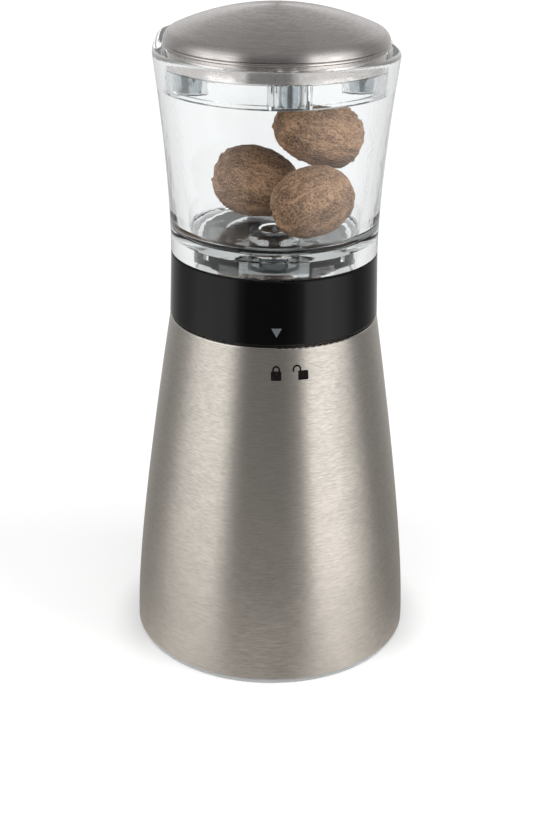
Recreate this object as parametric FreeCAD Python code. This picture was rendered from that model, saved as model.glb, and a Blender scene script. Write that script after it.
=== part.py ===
import FreeCAD, Part
import math
import os

# Nutmeg grater with a twist head. Millimetres, +Z up, origin on the table at the centre
# of the foot. -Y is the front, where the pointer of the locking collar stands, and an
# azimuth is counted from the front towards +X.

Vector = FreeCAD.Vector

front_azimuth = -90.0     # degrees, from +X to the front

# ---- Clearances
fit_gap = 0.05            # radial, between pieces that are fixed to each other
journal_gap = 0.05        # radial, in a running or sliding fit
run_gap = 0.3             # between pieces that move past each other
seat_gap = 0.3            # between a loose piece and what it rests on
over_cut = 1.0            # how far a cut runs past the face that it opens

# ---- Foot and steel sleeve
foot_radius = 34.2
foot_flange = 1.6         # thickness of the ring that the grater stands on
foot_opening_radius = 29.5
foot_plug_height = 6.4    # height of the collar that centres the sleeve
foot_plug_wall = 2.6
foot_edge_round = 0.5
sleeve_height = 84.2
sleeve_base_radius = 34.75
sleeve_neck_radius = 25.3
sleeve_swell = 22.4       # height of the curve's control point above the foot
sleeve_wall = 0.8
sleeve_lip_inset = 0.15   # from the neck ring's bore out to the sleeve's turned-in lip

# ---- Grating chamber
frame_thickness = 3.0
frame_rim_height = 3.0
frame_rim_wall = 2.2
chamber_radius = 15.5
chamber_wall = 1.8
disc_thickness = 1.2
disc_edge = 1.2           # width of the disc's edge under the chamber wall
disc_ledge = 1.3          # width of the ledge that carries the disc, inside the chamber wall
blade_count = 3
blade_length = 9.5
blade_width = 4.2
blade_thickness = 0.5
blade_overhang = 0.8      # how far the cutting edge stands over its slot
blade_inner_radius = 3.2  # from the axis to the blade's inner end
slot_width = 2.6
rivet_radius = 0.7
rivet_head_radius = 1.2
rivet_head_height = 0.4
rivet_inset = 1.9         # from the blade's ends to its rivets
screw_count = 3           # in the frame, and in the neck ring
frame_screw_radius = 1.2
frame_screw_head_radius = 2.3
frame_screw_head_height = 1.6
frame_screw_grip = 9.0    # length of screw inside the chamber's boss
boss_wall = 1.7           # plastic round a screw
tube_flange = 3.0

# ---- Neck ring
neck_ring_height = 11.0
neck_ring_wall = 1.3
neck_floor_height = 4.6   # height of the keyed part at the bottom
neck_screw_radius = 1.0
neck_screw_head_radius = 1.9
neck_screw_head_height = 1.5
neck_screw_grip = 4.0
neck_screw_turn = 60.0    # degrees, from the frame's screws
pad_count = 6             # grip pads in the neck, and lobes on the grip ring
pad_width = 10.0          # degrees
pad_height = 0.6
lobe_height = 0.65

# ---- Locking collar
collar_height = 15.8
collar_taper = 0.45       # how much its top edge is smaller in radius than its lower edge
collar_wall = 2.3
collar_ledge_width = 2.0
collar_ledge_height = 1.5
collar_edge_round = 0.5
grip_ring_wall = 1.2
grip_ring_inset = 0.2     # from the collar's lower edge up to the grip ring's shoulder
lock_twist = 14.0         # degrees, from the closed to the open padlock

# ---- Carrier
carrier_plate = 3.1
carrier_plate_top = 7.8   # from the collar's top edge down to the plate
skirt_wall = 2.0
key_count = 3
key_width = 12.0          # degrees
key_height = 1.4
key_length = 4.0
stop_height = 2.0
stop_drop = 2.0           # from the plate down to the twist stops
stop_reach = 1.3          # how far a stop stands into its notch in the grip ring
stop_play = 0.8           # degrees
hub_length = 12.4
hub_wall = 2.0
bush_wall = 2.0
washer_thickness = 0.5
washer_margin = 0.4       # from the bush's outer radius to the washer's

# ---- Clear hopper
hopper_crest_radius = 29.05
hopper_low_height = 47.4
hopper_crest_height = 2.8
hopper_crest_wall = 2.5
hopper_swell = 17.8       # height of the curve's control point above the hopper's base
hopper_base_wall = 4.35
hopper_recess_depth = 2.8
hopper_floor = 1.6
hopper_floor_round = 3.2
hopper_foot_ring = 5.4    # width of the ring that the hopper stands on
hopper_ledge_width = 1.1
hopper_boss_radius = 6.2
hopper_block_reach = 1.8  # how far the drive blocks stand past the adaptor's lugs, each way
rim_wall = 3.25
rim_round = 1.2           # rounding of the rim's outer edge, all the way round
ramp_azimuth = 8.0        # the way that the ramp in the rim faces, down to the low half
ramp_head = 11.5          # from the axis back to the upper corner of the ramp
ramp_foot = 2.5           # from the axis back to its lower corner
ramp_round = 12.0         # radius of both corners

# ---- Magnets and their ring
magnet_count = 4
magnet_radius = 3.4
magnet_height = 5.0
magnet_azimuth = 8.0      # degrees, first magnet
magnet_wall = 1.3
magnet_ring_wall = 1.5
magnet_ring_floor = 0.4
magnet_ring_flange = 1.3  # how far the ring's lower edge stands in past its wall
magnet_ring_flange_height = 0.8

# ---- Lid
lid_wall = 0.8
lid_skirt = 3.5           # height of the skirt below the bead
bead_radius = 0.42
bead_reach = 0.35         # from the crest wall to the bead
dome_shoulder_radius = 3.1
dome_crown_radius = 58.5
dome_edge_inset = 0.1     # from the bead's outside to the dome's edge
dome_edge_rise = 0.1      # from the bead's top to the dome's edge
lid_plate_thickness = 0.8

# ---- Drive tube
tube_radius = 6.9
tube_wall = 1.2
tube_head = 9.0           # solid length above the bore, up to the shoulder's top
shoulder_radius = 9.3
shoulder_height = 2.0
spigot_flats = 8.0
spigot_length = 5.2
adaptor_radius = 16.0
adaptor_plate = 1.8
adaptor_wall = 2.2
lug_count = 3
lug_width = 66.0          # degrees
lug_play = 2.0            # degrees, from a lug to the hopper's drive block on each side
hub_screw_radius = 1.5
hub_screw_head_radius = 3.2
hub_screw_head_height = 1.8
hub_screw_depth = 9.0     # length of screw inside the drive tube
hub_washer_radius = 3.8
hub_washer_thickness = 0.6
hub_screw_sink = 0.2      # from the hopper's floor down to the screw's head
driver_slot = 0.9         # width of the cross in every screw head
driver_share = 1.3        # length of the cross over the head's radius
driver_depth = 0.8
clip_thickness = 0.8
clip_groove_depth = 0.5
clip_reach = 1.7          # how far the clip stands out of the tube
clip_opening = 70.0       # degrees
cap_flange = 1.5
cap_plug = 4.5

# ---- Plunger
plunger_travel = 20.0
rod_flats = 6.6
rod_flange_height = 2.5
rod_socket = 1.5          # depth of the rod's end in the claw plate
plate_thickness = 3.0
plate_margin = 1.5        # from the claw plate to the chamber wall
claw_count = 3
claw_length = 14.0
claw_thickness = 1.2
claw_foot_radius = 13.2
claw_root_radius = 6.0
claw_tab = 5.0
claw_tip_width = 1.0
claw_teeth = 3
claw_tooth_depth = 0.9
tip_clearance = 0.6       # from the rivets' heads to the claws' points
claw_screw_radius = 1.2
claw_screw_head_radius = 2.3
claw_screw_head_height = 1.3
claw_screw_grip = 6.0
spring_wire = 0.9
spring_coils = 7

# ---- Stored nutmegs: length, thickness, place on the floor and tilt of the long axis
nutmegs = {
    "nutmeg_left": {"length": 22.6, "thickness": 18.4, "x": -4.8, "y": 7.9, "turn": -10, "tilt": -8},
    "nutmeg_front": {"length": 20.0, "thickness": 17.0, "x": 8.5, "y": -7.9, "turn": 0, "tilt": 28},
    "nutmeg_top": {"length": 23.4, "thickness": 17.0, "x": 10.3, "y": 2.7, "turn": 190, "tilt": 18},
}
nut_taper = 0.08          # share by which the stem end is fuller and the other end slimmer
settle_steps = 14

# ---- Levels worked out from the sizes above
sleeve_top = foot_flange + sleeve_height
collar_bottom = sleeve_top + run_gap
collar_top = collar_bottom + collar_height
hopper_bottom = collar_top + run_gap
rim_low = hopper_bottom + hopper_low_height
rim_high = rim_low + hopper_crest_height
frame_bottom = foot_flange + foot_plug_height
frame_top = frame_bottom + frame_thickness
disc_bottom = frame_top - disc_thickness
blade_top = frame_top + blade_thickness
neck_top = sleeve_top - sleeve_wall
neck_bottom = neck_top - neck_ring_height
neck_floor_top = neck_bottom + neck_floor_height
plate_top = collar_top - carrier_plate_top
plate_bottom = plate_top - carrier_plate
hub_top = plate_top + run_gap
hub_bottom = hub_top - hub_length
washer_top = hub_top + washer_thickness
shoulder_bottom = washer_top + 2 * journal_gap
shoulder_top = shoulder_bottom + shoulder_height
adaptor_top = shoulder_top + adaptor_plate
recess_top = hopper_bottom + hopper_recess_depth
floor_top = recess_top + hopper_floor
screw_seat = floor_top - hub_screw_sink - hub_screw_head_height - hub_washer_thickness
claw_tip = blade_top + rivet_head_height + tip_clearance
claw_root = claw_tip + claw_length
claw_plate_top = claw_root + plate_thickness
cap_bottom = claw_plate_top + plunger_travel + seat_gap
cap_flange_top = cap_bottom + cap_flange
cap_top = cap_flange_top + cap_plug
flange_bottom = cap_top + seat_gap
flange_top = flange_bottom + rod_flange_height
bore_top = shoulder_top - tube_head

# ---- Radius where the hopper stands on the collar
hopper_base_radius = sleeve_neck_radius - collar_taper


def bow_radius(z, foot, swell, head):
    """Radius at height z of the curve from foot to head that starts upright."""
    square = head[1] - 2 * (foot[1] + swell) + foot[1]
    slope = 2 * swell
    level = foot[1] - z
    share = (math.sqrt(slope * slope - 4 * square * level) - slope) / (2 * square)
    return foot[0] + (head[0] - foot[0]) * share * share


def sleeve_radius(z):
    return bow_radius(z, (sleeve_base_radius, foot_flange), sleeve_swell,
                      (sleeve_neck_radius, sleeve_top))


def hopper_radius(z):
    return bow_radius(z, (hopper_base_radius, hopper_bottom), hopper_swell,
                      (hopper_crest_radius, rim_high))


# ---- Radii worked out from the sizes above
plug_radius = sleeve_radius(frame_bottom) - sleeve_wall - seat_gap
frame_radius = sleeve_radius(frame_top + frame_rim_height) - sleeve_wall - seat_gap
tube_outer = chamber_radius + chamber_wall
boss_radius = frame_screw_radius + boss_wall
boss_centre = tube_outer + boss_radius - 0.5 * chamber_wall
disc_radius = chamber_radius + disc_edge
neck_radius = sleeve_radius(neck_top) - sleeve_wall - seat_gap
neck_bore = neck_radius - neck_ring_wall
pad_radius = neck_bore - pad_height
lobe_radius = pad_radius - journal_gap
grip_outer = lobe_radius - lobe_height
grip_inner = grip_outer - grip_ring_wall
key_radius = grip_inner - run_gap
skirt_radius = key_radius - key_height
skirt_inner = skirt_radius - skirt_wall
neck_screw_centre = 0.5 * (skirt_radius + neck_radius)
collar_inner = hopper_base_radius - collar_wall
bush_inner = tube_radius + journal_gap
bush_outer = bush_inner + bush_wall
hub_inner = bush_outer + fit_gap
tube_bore = tube_radius - tube_wall
clip_inner = tube_radius - clip_groove_depth
rod_flange_radius = tube_bore - run_gap
plate_radius = chamber_radius - plate_margin
rim_bore = hopper_radius(rim_low) - rim_wall
crest_bore = hopper_crest_radius - hopper_crest_wall
cavity_base = hopper_radius(floor_top) - hopper_base_wall
bead_outer = crest_bore - bead_reach
bead_centre = bead_outer - bead_radius
lid_skirt_radius = rim_bore - seat_gap
magnet_ring_height = magnet_height + magnet_ring_floor
magnet_boss_radius = magnet_radius + fit_gap + magnet_wall
magnet_ring_radius = rim_bore - seat_gap
magnet_centre = magnet_ring_radius - magnet_boss_radius

# ---- Levels at the lid, which hangs its skirt into the rim
bead_level = rim_low + 0.5 * hopper_crest_height - 0.5 * seat_gap
lid_bottom = bead_level - bead_radius - lid_skirt
magnet_ring_top = lid_bottom - seat_gap
ledge_level = magnet_ring_top - magnet_ring_height
dome_edge_radius = bead_outer - dome_edge_inset
dome_edge_level = bead_level + bead_radius + dome_edge_rise


def point(radius, z):
    return Vector(radius, 0, z)


def run(*places):
    """Straight edges through places, each a pair of radius and height."""
    pairs = zip(places, places[1:])
    return [Part.LineSegment(point(*a), point(*b)).toShape() for a, b in pairs]


def bend(start, middle, end):
    """One arc through three places."""
    return [Part.Arc(point(*start), point(*middle), point(*end)).toShape()]


def bow(*poles):
    """One smooth curve drawn towards its poles."""
    curve = Part.BezierCurve()
    curve.setPoles([point(*pole) for pole in poles])
    return [curve.toShape()]


def corner(before, tip, after, radius):
    """The arc that rounds the corner at tip, as its first, middle and last place."""
    here = point(*tip)
    back = (point(*before) - here).normalize()
    ahead = (point(*after) - here).normalize()
    half = 0.5 * back.getAngle(ahead)
    reach = radius / math.tan(half)
    middle = here + (back + ahead).normalize() * (radius / math.sin(half) - radius)
    places = (here + back * reach, middle, here + ahead * reach)
    return [(place.x, place.z) for place in places]


def lathe(*stretches):
    """Solid of revolution of the closed outline that the stretches make."""
    edges = [edge for stretch in stretches for edge in stretch]
    face = Part.Face(Part.Wire(edges))
    return face.revolve(Vector(0, 0, 0), Vector(0, 0, 1), 360)


def turned(shape, azimuth):
    copy = shape.copy()
    copy.rotate(Vector(0, 0, 0), Vector(0, 0, 1), azimuth)
    return copy


def around(shape, count, first=0.0):
    """Copies of a shape in equal steps about the axis."""
    return [turned(shape, first + number * 360.0 / count) for number in range(count)]


def disc(radius, low, high):
    return Part.makeCylinder(radius, high - low, Vector(0, 0, low))


def ring(inner, outer, low, high):
    return disc(outer, low, high).cut(disc(inner, low - over_cut, high + over_cut))


def sector(inner, outer, low, high, width):
    """Part of a ring, centred on the front, width degrees wide."""
    corners = (inner, low), (outer, low), (outer, high), (inner, high), (inner, low)
    face = Part.Face(Part.Wire(run(*corners)))
    solid = face.revolve(Vector(0, 0, 0), Vector(0, 0, 1), width)
    return turned(solid, front_azimuth - 0.5 * width)


def rod(radius, centre, low, high):
    """Upright cylinder at the front, centre away from the axis."""
    return Part.makeCylinder(radius, high - low, Vector(0, -centre, low))


def hexagon(flats, low, high):
    radius = 0.5 * flats / math.cos(math.radians(30))
    angles = [math.radians(60 * number) for number in range(7)]
    corners = [Vector(radius * math.cos(a), radius * math.sin(a), low) for a in angles]
    return Part.Face(Part.makePolygon(corners)).extrude(Vector(0, 0, high - low))


def block(width, depth, low, high, x=0.0, y=0.0):
    """Upright block centred on x, y."""
    return Part.makeBox(width, depth, high - low, Vector(x - 0.5 * width, y - 0.5 * depth, low))


def driver_cross(head_radius, low, high):
    """The cross that a screwdriver turns."""
    bar = block(driver_share * head_radius, driver_slot, low, high)
    return bar.fuse(turned(bar, 90))


def screw(radius, head_radius, head_height, length, centre, base, up):
    """Screw at the front whose head's bearing face is at base, its shank up or down."""
    way = 1 if up else -1
    shank = sorted((base, base + way * length))
    head = sorted((base, base - way * head_height))
    slot = sorted((base - way * head_height, base - way * (head_height - driver_depth)))
    solid = disc(head_radius, *head).fuse(disc(radius, *shank))
    solid = solid.cut(driver_cross(head_radius, *slot))
    solid.translate(Vector(0, -centre, 0))
    return solid


def foot_ring():
    plug_inner = plug_radius - foot_plug_wall
    edge = corner((foot_opening_radius, 0), (foot_radius, 0), (foot_radius, foot_flange),
                  foot_edge_round)
    return lathe(
        run((foot_opening_radius, 0), edge[0]),
        bend(*edge),
        run(edge[2], (foot_radius, foot_flange), (plug_radius, foot_flange),
            (plug_radius, frame_bottom), (plug_inner, frame_bottom),
            (plug_inner, foot_flange), (foot_opening_radius, foot_flange),
            (foot_opening_radius, 0)))


def steel_sleeve():
    lip = neck_bore + sleeve_lip_inset
    inner_base = sleeve_base_radius - sleeve_wall
    inner_top = sleeve_radius(neck_top) - sleeve_wall
    control = foot_flange + sleeve_swell
    edge_level = sleeve_top - 0.5 * sleeve_wall
    edge_radius = sleeve_neck_radius - 0.5 * sleeve_wall
    diagonal = 0.5 * sleeve_wall * math.cos(math.radians(45))
    return lathe(
        bow((sleeve_base_radius, foot_flange), (sleeve_base_radius, control),
            (sleeve_neck_radius, edge_level)),
        bend((sleeve_neck_radius, edge_level), (edge_radius + diagonal, edge_level + diagonal),
             (edge_radius, sleeve_top)),
        run((edge_radius, sleeve_top), (lip, sleeve_top), (lip, neck_top),
            (inner_top, neck_top)),
        bow((inner_top, neck_top), (inner_base, control), (inner_base, foot_flange)),
        run((inner_base, foot_flange), (sleeve_base_radius, foot_flange)))


def base_frame():
    opening = chamber_radius - disc_ledge
    frame = disc(frame_radius, frame_bottom, frame_top + frame_rim_height)
    frame = frame.cut(disc(frame_radius - frame_rim_wall, frame_top, frame_top + 2 * frame_rim_height))
    frame = frame.cut(disc(opening, frame_bottom - over_cut, frame_top + over_cut))
    frame = frame.cut(disc(disc_radius + fit_gap, disc_bottom, frame_top + over_cut))
    hole = rod(frame_screw_radius + fit_gap, boss_centre, frame_bottom - over_cut, frame_top + over_cut)
    sunk = rod(frame_screw_head_radius + fit_gap, boss_centre, frame_bottom - over_cut,
               frame_bottom + frame_screw_head_height)
    return frame.cut(around(hole.fuse(sunk), screw_count))


def frame_screws():
    length = frame_thickness - frame_screw_head_height + frame_screw_grip
    one = screw(frame_screw_radius, frame_screw_head_radius, frame_screw_head_height,
                length, boss_centre, frame_bottom + frame_screw_head_height, True)
    return around(one, screw_count)


def blade_rivet_places():
    """Middle of the blade's width, and the two radii of its rivets."""
    side = 0.5 * (slot_width + blade_width - blade_overhang)
    near = blade_inner_radius + rivet_inset
    far = blade_inner_radius + blade_length - rivet_inset
    return side, (near, far)


def grater_disc():
    plate = disc(disc_radius, disc_bottom, frame_top)
    slot = block(slot_width, blade_length, disc_bottom - over_cut, frame_top + over_cut,
                 0, -blade_inner_radius - 0.5 * blade_length)
    side, radii = blade_rivet_places()
    cutter = slot
    for radius in radii:
        hole = rod(rivet_radius + fit_gap, radius, disc_bottom - over_cut, frame_top + over_cut)
        hole.translate(Vector(side, 0, 0))
        cutter = cutter.fuse(hole)
    return plate.cut(around(cutter, blade_count))


def grater_blades():
    edge = 0.5 * slot_width - blade_overhang
    outline = [Vector(edge, -blade_inner_radius, frame_top),
               Vector(edge + blade_width, -blade_inner_radius, frame_top),
               Vector(edge + blade_width, -blade_inner_radius, blade_top),
               Vector(edge + blade_overhang, -blade_inner_radius, blade_top)]
    blade = Part.Face(Part.makePolygon(outline + outline[:1])).extrude(Vector(0, -blade_length, 0))
    side, radii = blade_rivet_places()
    for radius in radii:
        hole = rod(rivet_radius + fit_gap, radius, frame_top - over_cut, blade_top + over_cut)
        hole.translate(Vector(side, 0, 0))
        blade = blade.cut(hole)
    return around(blade, blade_count)


def blade_rivets():
    side, radii = blade_rivet_places()
    rivets = []
    for radius in radii:
        shank = rod(rivet_radius, radius, disc_bottom, blade_top)
        head = rod(rivet_head_radius, radius, blade_top, blade_top + rivet_head_height)
        rivet = shank.fuse(head)
        rivet.translate(Vector(side, 0, 0))
        rivets += around(rivet, blade_count)
    return rivets


def chamber_tube():
    flange_low = neck_bottom - tube_flange
    tube = ring(chamber_radius, tube_outer, frame_top, neck_bottom)
    tube = tube.fuse(ring(chamber_radius, neck_radius, flange_low, neck_bottom))
    boss_top = frame_top + frame_screw_grip + boss_wall
    boss = rod(boss_radius, boss_centre, frame_top, boss_top)
    tube = tube.fuse(around(boss, screw_count))
    pilot = rod(frame_screw_radius + fit_gap, boss_centre, frame_top - over_cut,
                frame_top + frame_screw_grip + 0.5 * boss_wall)
    hole = rod(neck_screw_radius + fit_gap, neck_screw_centre, flange_low - over_cut,
               neck_bottom + over_cut)
    tube = tube.cut(around(pilot, screw_count) + around(hole, screw_count, neck_screw_turn))
    return tube.cut(disc(chamber_radius, frame_top - over_cut, neck_bottom + over_cut))


def neck_ring():
    body = disc(neck_radius, neck_bottom, neck_top)
    body = body.cut(disc(skirt_radius + run_gap, neck_bottom - over_cut, neck_top + over_cut))
    body = body.cut(disc(neck_bore, neck_floor_top, neck_top + over_cut))
    pad = sector(pad_radius, neck_bore + 0.5 * neck_ring_wall, neck_floor_top - fit_gap,
                 neck_top, pad_width)
    body = body.fuse(around(pad, pad_count))
    key_play = math.degrees(run_gap / key_radius)
    slot = sector(skirt_inner, key_radius + run_gap, neck_bottom - over_cut, neck_floor_top + over_cut,
                  key_width + 2 * key_play)
    pilot = rod(neck_screw_radius + fit_gap, neck_screw_centre, neck_bottom - over_cut,
                neck_bottom + neck_screw_grip + fit_gap)
    return body.cut(around(slot, key_count) + around(pilot, screw_count, neck_screw_turn))


def neck_screws():
    base = neck_bottom - tube_flange
    one = screw(neck_screw_radius, neck_screw_head_radius, neck_screw_head_height,
                tube_flange + neck_screw_grip, neck_screw_centre, base, True)
    return around(one, screw_count, neck_screw_turn)


def carrier():
    plate_edge = collar_inner - run_gap
    skirt_bottom = neck_bottom + seat_gap
    body = disc(plate_edge, plate_bottom, plate_top)
    body = body.fuse(disc(hub_inner + hub_wall, hub_bottom, hub_top))
    body = body.fuse(ring(skirt_inner, skirt_radius, skirt_bottom, plate_bottom))
    key = sector(skirt_radius - 0.5 * skirt_wall, key_radius, skirt_bottom,
                 skirt_bottom + key_length, key_width)
    stop_top = plate_bottom - stop_drop
    stop = sector(skirt_radius - 0.5 * skirt_wall, grip_inner + stop_reach,
                  stop_top - stop_height, stop_top, key_width)
    body = body.fuse(around(key, key_count) + around(stop, key_count))
    return body.cut(disc(hub_inner, hub_bottom - over_cut, hub_top + over_cut))


def carrier_bush():
    return ring(bush_inner, bush_outer, hub_bottom, hub_top)


def thrust_washer():
    return ring(bush_inner, bush_outer + washer_margin, hub_top, washer_top)


def locking_collar():
    low = corner((collar_inner, collar_bottom), (sleeve_neck_radius, collar_bottom),
                 (hopper_base_radius, collar_top), collar_edge_round)
    high = corner((sleeve_neck_radius, collar_bottom), (hopper_base_radius, collar_top),
                  (collar_inner, collar_top), collar_edge_round)
    ledge_low = plate_top + run_gap
    ledge_high = ledge_low + collar_ledge_height
    ledge_inner = collar_inner - collar_ledge_width
    return lathe(
        run((collar_inner, collar_bottom), low[0]),
        bend(*low),
        run(low[2], high[0]),
        bend(*high),
        run(high[2], (collar_inner, collar_top), (collar_inner, ledge_high),
            (ledge_inner, ledge_high), (ledge_inner, ledge_low), (collar_inner, ledge_low),
            (collar_inner, collar_bottom)))


def grip_ring():
    shoulder_low = collar_bottom + grip_ring_inset
    shoulder_high = plate_bottom - run_gap
    sleeve_low = neck_floor_top + run_gap
    body = disc(collar_inner - fit_gap, shoulder_low, shoulder_high)
    body = body.fuse(disc(grip_outer, sleeve_low, shoulder_low))
    lobe = sector(grip_outer - 0.5 * grip_ring_wall, lobe_radius, sleeve_low, shoulder_low, pad_width)
    body = body.fuse(around(lobe, pad_count))
    body = body.cut(disc(grip_inner, sleeve_low - over_cut, shoulder_high + over_cut))
    notch_low = plate_bottom - stop_drop - stop_height - run_gap
    notch = sector(grip_inner - over_cut, grip_inner + stop_reach + run_gap, notch_low,
                   shoulder_high + over_cut, key_width + lock_twist + 2 * stop_play)
    return body.cut(around(notch, key_count, -0.5 * lock_twist))


def rim_ramp_cutter():
    """Everything above the low half of the rim and above the ramp that leads up from it."""
    far = 2 * hopper_crest_radius
    over = rim_high + over_cut
    head_tip = (-ramp_head, rim_high)
    foot_tip = (-ramp_foot, rim_low)
    head = corner((-far, rim_high), head_tip, foot_tip, ramp_round)
    foot = corner(head_tip, foot_tip, (far, rim_low), ramp_round)
    start = (head[0][0], over)
    edges = (run(start, head[0]) + bend(*head) + run(head[2], foot[0]) + bend(*foot)
             + run(foot[2], (far, rim_low), (far, over), start))
    prism = Part.Face(Part.Wire(edges)).extrude(Vector(0, 2 * far, 0))
    prism.translate(Vector(0, -far, 0))
    return turned(prism, ramp_azimuth + front_azimuth)


def on_rim_edge(edge):
    """Whether an edge is part of the rim's outer upper edge."""
    middle = crest_bore + 0.5 * hopper_crest_wall
    return all(math.hypot(end.X, end.Y) > middle and end.Z > rim_low - fit_gap
               for end in edge.Vertexes)


def hopper():
    control = hopper_bottom + hopper_swell
    foot_inner = hopper_base_radius - hopper_foot_ring
    ledge_inner = rim_bore - hopper_ledge_width
    wall_foot = (cavity_base, floor_top)
    wall_head = (ledge_inner, ledge_level)
    heel = corner((0, floor_top), wall_foot, wall_head, hopper_floor_round)
    crest_low = rim_low - 2 * rim_round
    outer = (hopper_radius(crest_low), crest_low)
    bowl = lathe(
        run((0, recess_top), (foot_inner, recess_top), (foot_inner, hopper_bottom),
            (hopper_base_radius, hopper_bottom)),
        bow((hopper_base_radius, hopper_bottom), (hopper_base_radius, control), outer),
        run(outer, (rim_bore, crest_low), (rim_bore, ledge_level), wall_head, heel[2]),
        bend(*reversed(heel)),
        run(heel[0], (0, floor_top), (0, recess_top)))
    crest = lathe(
        run((rim_bore, crest_low), outer, (hopper_crest_radius, rim_high), (crest_bore, rim_high),
            (crest_bore, rim_low), (rim_bore, rim_low), (rim_bore, crest_low)))
    crest = crest.cut(rim_ramp_cutter())
    crest = crest.makeFillet(rim_round, [edge for edge in crest.Edges if on_rim_edge(edge)])
    body = bowl.fuse(crest)
    middle = 0.5 * recess_top + 0.5 * floor_top
    body = body.fuse(disc(hopper_boss_radius, adaptor_top, middle))
    block_width = 360.0 / lug_count - lug_width - 2 * lug_play
    drive_block = sector(adaptor_radius - adaptor_wall - hopper_block_reach,
                         adaptor_radius + hopper_block_reach, adaptor_top, middle, block_width)
    body = body.fuse(around(drive_block, lug_count))
    body = body.cut(hexagon(spigot_flats + 2 * fit_gap, adaptor_top - over_cut,
                            shoulder_top + spigot_length + fit_gap))
    body = body.cut(disc(hub_screw_radius + 2 * fit_gap, adaptor_top, floor_top + over_cut))
    return body.cut(disc(hub_washer_radius + 2 * fit_gap, screw_seat, floor_top + over_cut))


def drive_adaptor():
    """Black plate whose lugs turn with the hopper's drive blocks."""
    body = disc(adaptor_radius, shoulder_top, adaptor_top)
    lug = sector(adaptor_radius - adaptor_wall, adaptor_radius, shoulder_top,
                 recess_top - seat_gap, lug_width)
    body = body.fuse(around(lug, lug_count, 180.0 / lug_count))
    return body.cut(hexagon(spigot_flats + 2 * fit_gap, shoulder_top - over_cut, adaptor_top + over_cut))


def hub_screw():
    head_base = screw_seat + hub_washer_thickness
    length = head_base - shoulder_top + hub_screw_depth
    return screw(hub_screw_radius, hub_screw_head_radius, hub_screw_head_height, length,
                 0, head_base, False)


def hub_washer():
    return ring(hub_screw_radius + 2 * fit_gap, hub_washer_radius, screw_seat,
                screw_seat + hub_washer_thickness)


def drive_tube():
    spigot_top = shoulder_top + spigot_length
    clip_level = hub_bottom - run_gap
    body = disc(tube_radius, cap_flange_top, shoulder_bottom)
    body = body.fuse(disc(shoulder_radius, shoulder_bottom, shoulder_top))
    body = body.fuse(hexagon(spigot_flats, shoulder_top, spigot_top))
    body = body.cut(disc(tube_bore, cap_flange_top - over_cut, bore_top))
    body = body.cut(disc(hub_screw_radius + fit_gap, shoulder_top - hub_screw_depth - fit_gap,
                         spigot_top + over_cut))
    return body.cut(ring(clip_inner, tube_radius + over_cut, clip_level - clip_thickness - 2 * fit_gap,
                         clip_level))


def retaining_clip():
    level = hub_bottom - run_gap - fit_gap
    clip = ring(clip_inner + fit_gap, tube_radius + clip_reach, level - clip_thickness, level)
    return clip.cut(sector(0.5 * clip_inner, 2 * tube_radius, level - 2 * clip_thickness,
                           level + clip_thickness, clip_opening))


def tube_end_cap():
    cap = disc(tube_radius, cap_bottom, cap_flange_top)
    cap = cap.fuse(disc(tube_bore - fit_gap, cap_flange_top, cap_top))
    return cap.cut(hexagon(rod_flats + 2 * journal_gap, cap_bottom - over_cut, cap_top + over_cut))


def magnet_ring():
    body = ring(magnet_ring_radius - magnet_ring_wall, magnet_ring_radius, ledge_level,
                magnet_ring_top)
    boss = rod(magnet_boss_radius, magnet_centre, ledge_level, magnet_ring_top)
    pocket = rod(magnet_radius + fit_gap, magnet_centre, ledge_level + magnet_ring_floor,
                 magnet_ring_top + over_cut)
    body = body.fuse(ring(magnet_ring_radius - magnet_ring_wall - magnet_ring_flange,
                          magnet_ring_radius, ledge_level, ledge_level + magnet_ring_flange_height))
    body = body.fuse(around(boss, magnet_count, magnet_azimuth))
    return body.cut(around(pocket, magnet_count, magnet_azimuth))


def lid_magnets():
    one = rod(magnet_radius, magnet_centre, ledge_level + magnet_ring_floor, magnet_ring_top)
    return around(one, magnet_count, magnet_azimuth)


def dome_outline(edge_radius, edge_level, shoulder, crown):
    """Edge, shoulder, crown and top of a dome that leaves its edge upright."""
    centre = edge_radius - shoulder
    rise = math.sqrt((crown - shoulder) ** 2 - centre ** 2)
    turn = math.atan2(rise, centre)
    crown_level = edge_level - rise
    middle = 0.5 * (turn + math.radians(90))
    return ((edge_radius, edge_level),
            (centre + shoulder * math.cos(0.5 * turn), edge_level + shoulder * math.sin(0.5 * turn)),
            (centre + shoulder * math.cos(turn), edge_level + shoulder * math.sin(turn)),
            (crown * math.cos(middle), crown_level + crown * math.sin(middle)),
            (0, crown_level + crown))


def lid_dome():
    outer = dome_outline(dome_edge_radius, dome_edge_level, dome_shoulder_radius, dome_crown_radius)
    inner = dome_outline(dome_edge_radius - lid_wall, dome_edge_level,
                         dome_shoulder_radius - lid_wall, dome_crown_radius - lid_wall)
    skirt_inner_radius = lid_skirt_radius - lid_wall
    bead_low = (bead_centre, bead_level - bead_radius)
    bead_high = (bead_centre, bead_level + bead_radius)
    return lathe(
        run((skirt_inner_radius, lid_bottom), (lid_skirt_radius, lid_bottom),
            (lid_skirt_radius, bead_low[1]), bead_low),
        bend(bead_low, (bead_outer, bead_level), bead_high),
        run(bead_high, outer[0]),
        bend(*outer[:3]),
        bend(*outer[2:]),
        run(outer[4], inner[4]),
        bend(*reversed(inner[2:])),
        bend(*reversed(inner[:3])),
        run(inner[0], (skirt_inner_radius, dome_edge_level), (skirt_inner_radius, lid_bottom)))


def lid_plate():
    return disc(lid_skirt_radius - lid_wall - fit_gap, lid_bottom, lid_bottom + lid_plate_thickness)


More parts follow.
